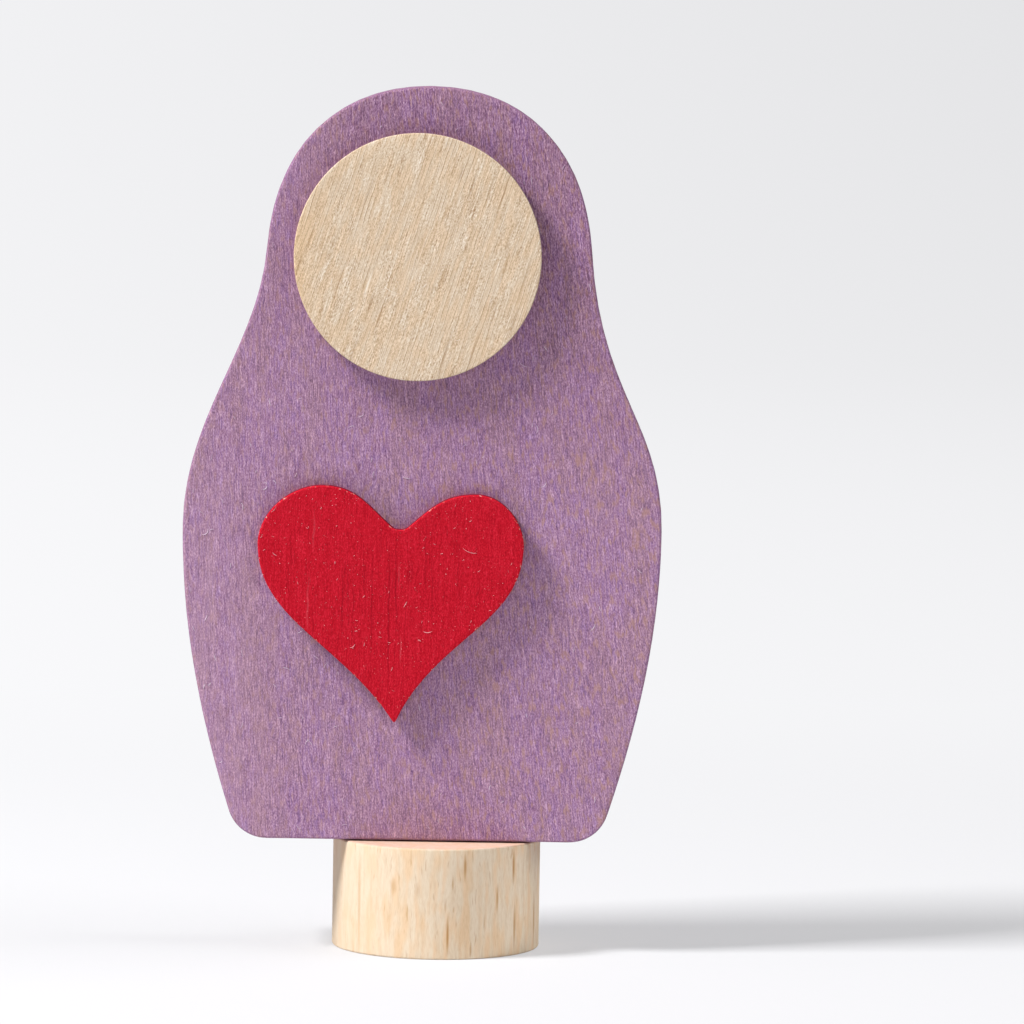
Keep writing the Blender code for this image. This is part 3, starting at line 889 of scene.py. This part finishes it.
plug.data.materials.append(beech("beech rod, sanded, bare", "#EDDCC5", "#E7D4BA", "#DEC6A8", stain_and_reflection=0.5))
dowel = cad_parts["joint_dowel"]
dowel.data.materials.clear()
dowel.data.materials.append(beech("beech dowel, fluted", "#DDC09A", "#D0AE84", "#B48E64", stain_and_reflection=0.0))
print("plug:", plug.data.materials[0].name, "and dowel:", dowel.data.materials[0].name)

# %% [markdown]
# ## Lint
# Sanding dust and raised fibres lie on the board, the heart and the disc, where they show up pale. Each is
# a thin bent thread, half sunk in the surface. Hair particles would make them too, but threads as plain
# mesh can be handed on with the model. Each of the three woods gets one mesh of them.

# %% Lint threads
THREAD_STEPS = 5
THREAD_SIDES = 5
BLUNT_END = 0.12
DUST_MOTTLE = 2 * MM


def add_thread(bm, spot, front, length, angle, bend, radius):
    """A closed thread on a front face, with its middle near spot, which is (x, z); sizes are in mm.

    angle is measured from level and bend is how far it turns along its length, both in degrees.
    """
    rings = []
    heading = math.radians(angle - bend / 2)
    x = spot[0] - length / 2 * math.cos(math.radians(angle))
    z = spot[1] - length / 2 * math.sin(math.radians(angle))
    for k in range(THREAD_STEPS + 1):
        thick = radius * math.sqrt(max(BLUNT_END, 1 - (2 * k / THREAD_STEPS - 1) ** 2))
        ring = []
        for j in range(THREAD_SIDES):
            t = 2 * math.pi * j / THREAD_SIDES
            out = thick * math.cos(t)
            place = (x - math.sin(heading) * out, front + thick * math.sin(t), z + math.cos(heading) * out)
            ring.append(bm.verts.new(Vector(place) * MM))
        rings.append(ring)
        x += length / THREAD_STEPS * math.cos(heading)
        z += length / THREAD_STEPS * math.sin(heading)
        heading += math.radians(bend) / THREAD_STEPS
    for one, two in zip(rings, rings[1:]):
        for j in range(THREAD_SIDES):
            bm.faces.new((one[j - 1], one[j], two[j], two[j - 1]))
    bm.faces.new(rings[0])
    bm.faces.new(rings[-1])


def scatter(line, margin, count, seed):
    """Random spots inside a closed outline, at least margin mm from it."""
    dice = random.Random(seed)
    spots = []
    while len(spots) < count:
        spot = Vector((dice.uniform(min(p.x for p in line), max(p.x for p in line)),
                       dice.uniform(min(p.y for p in line), max(p.y for p in line))))
        cuts = [a.x + (spot.y - a.y) / (b.y - a.y) * (b.x - a.x)
                for a, b in zip(line, line[1:] + line[:1]) if (a.y <= spot.y) != (b.y <= spot.y)]
        inside = sum(1 for cut in cuts if cut > spot.x) % 2
        if inside and min((p - spot).length for p in line) > margin:
            spots.append(spot)
    return spots


def make_lint(name, front, threads, pale, dull):
    """One mesh of threads on a front face, in wood dust: rough, so that to the eye it is chalky."""
    bm = bmesh.new()
    for thread in threads:
        add_thread(bm, thread[0], front, *thread[1:])
    bmesh.ops.recalc_face_normals(bm, faces=bm.faces)
    for face in bm.faces:
        face.smooth = True
    mesh = bpy.data.meshes.new(name)
    bm.to_mesh(mesh)
    bm.free()
    material, tree, surface = start_material(name.replace("_", " ") + ", wood dust")
    tone = add(tree, "TexNoise", {"Vector": add(tree, "TexCoord", out="Object"), "Scale": 1 / DUST_MOTTLE})
    tone = add(tree, "ValToRGB", [tone], stops=[(0.35, dull), (0.65, pale)])
    tree.links.new(tone, surface.inputs["Base Color"])
    surface.inputs["Roughness"].default_value = 0.9
    mesh.materials.append(material)
    made = bpy.data.objects.new(name, mesh)
    bpy.context.scene.collection.objects.link(made)
    print(name, len(threads), "threads")
    return made


print("a thread has", THREAD_STEPS * THREAD_SIDES + 2, "faces")

# %% [markdown]
# ## Where the lint lies
# A few threads that catch the eye are placed. The rest are scattered, with seeds that make every run the
# same. Scattering by a particle system would do it too, but it can't place the few. On the board and the
# disc they tend to lie along the grain. On the heart most are mere specks.

# %% Threads on the board, the heart and the disc
# A thread is its middle (x, height), its length, angle, bend and radius.
SPECK_LENGTHS = (0.06, 0.06, 0.08, 0.1, 0.25)
dice = random.Random(11)
board_threads = [((-21.42, 38.19), 0.9, 60, 120, 0.035), ((-20.79, 38.29), 0.35, 20, 10, 0.04),
                 ((-21.25, 30.27), 0.6, 70, 40, 0.035), ((12.93, 60.7), 0.8, 110, 60, 0.035),
                 ((14.21, 14.2), 0.6, 100, 50, 0.035), ((-16.04, 42.17), 0.5, 40, 80, 0.035)]
board_threads += [(spot, dice.uniform(0.2, 0.8), dice.gauss(97, 35), dice.uniform(-90, 90),
                   dice.uniform(0.018, 0.03)) for spot in scatter(board_line, margin=0.4, count=170, seed=7)]
heart_threads = [((-15.0, 36.3), 0.5, -28, 60, 0.035), ((-12.1, 38.95), 0.45, 60, 250, 0.03),
                 ((-15.2, 40.4), 0.7, 60, 70, 0.022), ((-7.9, 28.1), 0.6, 45, 80, 0.028),
                 ((-6.85, 28.2), 0.35, 85, 20, 0.03), ((-1.1, 29.5), 0.8, 10, 60, 0.024),
                 ((2.6, 36.9), 1.4, -15, 50, 0.02), ((-3.2, 31.9), 0.6, 60, 20, 0.02),
                 ((-4.35, 26.0), 0.4, 75, 40, 0.028), ((-4.7, 33.0), 0.2, 80, 30, 0.04)]
heart_threads += [(spot, dice.choice(SPECK_LENGTHS), dice.uniform(0, 180), dice.uniform(-80, 80),
                   dice.uniform(0.014, 0.03)) for spot in scatter(heart_line, margin=0.3, count=150, seed=5)]
disc_threads = [((-10.3, 60.96), 0.7, 80, 20, 0.03), ((-4.8, 60.28), 1.6, -24, 30, 0.025),
                ((-4.85, 59.85), 0.5, 100, 30, 0.025), ((-1.9, 60.77), 0.5, 45, 50, 0.03),
                ((-8.38, 58.44), 0.6, 40, 20, 0.035), ((-3.25, 58.63), 0.5, 30, 60, 0.025)]
disc_threads += [(spot, dice.uniform(0.15, 0.5), dice.gauss(72, 30), dice.uniform(-80, 80),
                  dice.uniform(0.014, 0.024)) for spot in scatter(disc_line, margin=0.4, count=40, seed=9)]
board_lint = make_lint("board_lint", board_front, board_threads, "#E3D6E2", "#BFA3BC")
heart_lint = make_lint("heart_lint", heart_front, heart_threads, "#F0C6CA", "#CB5665")
disc_lint = make_lint("disc_lint", disc_front, disc_threads, "#FAF3EA", "#E9DAC6")

# %% [markdown]
# ## Tie the pieces to the body
# Each new piece stands for its CAD node, which is hidden, and rides on the one body. Lint has no CAD
# node of its own, so it rides on that body too. Parenting by hand would look the same.

# %% Tie the pieces to the frame
for piece, node, slot in ((board, "body_board", "lilac_wood"), (disc, "face_disc", "face_wood"),
                          (heart, "heart", "red_wood"), (plug, "base_plug", "plug_wood")):
    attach(piece, "root")
    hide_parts(node)
for piece, slot in ((board_lint, "lilac_wood"), (heart_lint, "red_wood"), (disc_lint, "face_wood")):
    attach(piece, "root")
